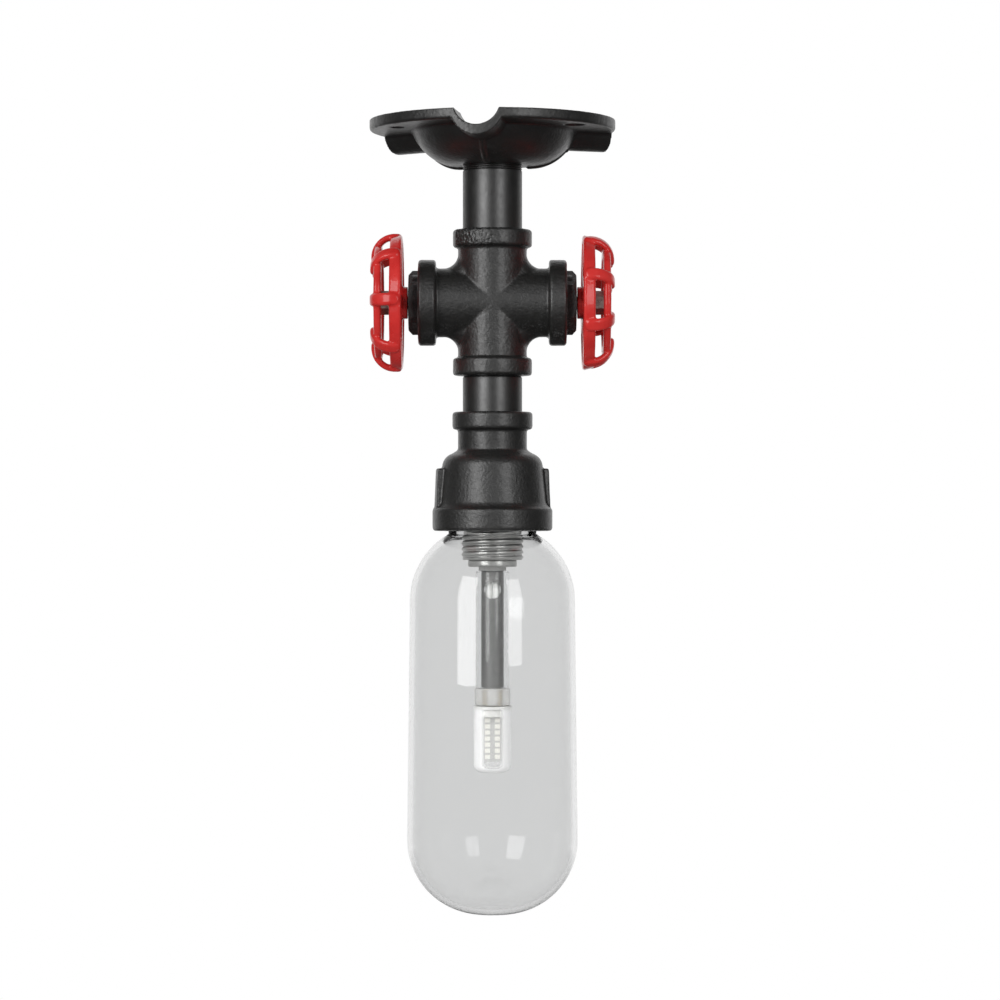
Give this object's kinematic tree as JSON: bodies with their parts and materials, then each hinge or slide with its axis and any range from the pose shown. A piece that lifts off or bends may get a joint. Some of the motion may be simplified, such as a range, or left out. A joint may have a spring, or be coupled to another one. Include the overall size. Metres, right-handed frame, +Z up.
{
  "type": "semi-flush ceiling light",
  "caption": "Semi-flush ceiling light of black pipe fittings with turning red handwheels and a clear capsule glass that unscrews from a bell over a pull-out lamp.",
  "frame": {"origin": "on the ceiling face of the flange, at the centre of the circle of screw holes", "axes": "+Z up towards the ceiling along the pipes, +X along the stem of the right handwheel, -Y towards the viewer"},
  "size_m": [0.0946, 0.0946, 0.3048],
  "materials": {
    "black_cast_iron": "black, satin, lightly pitted from the mould",
    "black_pipe": "black, smooth satin",
    "red_enamel": "glossy red enamel over a casting",
    "plain_steel": "turned, plain",
    "nickel_shell": "turned, half bright",
    "grey_steel": "drawn, half bright",
    "earth_brass": "turned",
    "lead_cover": "smooth white",
    "earth_cover": "smooth green and yellow",
    "seal_rubber": "matt",
    "clear_glass": "clear, smooth",
    "lamp_glass": "clear, slightly milky",
    "clear_sleeve": "clear, smooth",
    "white_holder": "glazed off-white",
    "white_base": "moulded off-white",
    "pin_metal": "drawn, bright",
    "pale_board": "smooth, pale",
    "pale_yellow_chip": "smooth, pale yellow"
  },
  "bodies": {
    "fixture": {"ceiling_flange": "black_cast_iron", "earth_screw": "earth_brass", "earth_lead": "earth_cover", "upper_pipe": "black_pipe", "cross_fitting": "black_cast_iron", "left_plug": "black_cast_iron", "right_plug": "black_cast_iron", "left_stem": "plain_steel", "right_stem": "plain_steel", "stem_lock_nuts": "plain_steel", "wheel_washers": "plain_steel", "wheel_nuts": "plain_steel", "lower_pipe": "black_pipe", "reducer_bell": "black_cast_iron", "lamp_carrier": "nickel_shell", "carrier_ring": "nickel_shell", "stem_nut": "nickel_shell", "lamp_stem": "grey_steel", "stem_sleeve": "clear_sleeve", "bulb_holder": "white_holder", "socket_contacts": "earth_brass", "live_lead": "lead_cover", "neutral_lead": "lead_cover"},
    "left_wheel": {"left_wheel": "red_enamel"},
    "right_wheel": {"right_wheel": "red_enamel"},
    "shade_seal": {"shade_gasket": "seal_rubber"},
    "shade": {"glass_shade": "clear_glass"},
    "bulb": {"bulb_base": "white_base", "bulb_pins": "pin_metal", "bulb_envelope": "lamp_glass", "led_board": "pale_board", "led_chips": "pale_yellow_chip"}
  },
  "joints": [
    {"name": "left_wheel_turn", "type": "hinge", "parent": "fixture", "child": "left_wheel", "pos_m": [-0.04, 0, -0.07], "axis": [-1, 0, 0], "continuous": true},
    {"name": "right_wheel_turn", "type": "hinge", "parent": "fixture", "child": "right_wheel", "pos_m": [0.04, 0, -0.07], "axis": [1, 0, 0], "continuous": true},
    {"name": "shade_turn", "type": "hinge", "parent": "fixture", "child": "shade_seal", "pos_m": [0, 0, -0.15], "axis": [0, 0, -1], "range_deg": [0, 1440]},
    {"name": "shade_drop", "type": "slide", "parent": "shade_seal", "child": "shade", "axis": [0, 0, -1], "range_m": [0, 0.012]},
    {"name": "bulb_pull", "type": "slide", "parent": "fixture", "child": "bulb", "axis": [0, 0, -1], "range_m": [0, 0.012]}
  ],
  "couplings": [
    {"joint": "shade_drop", "follows": "shade_turn", "m_per_rad": 0.000477}
  ]
}
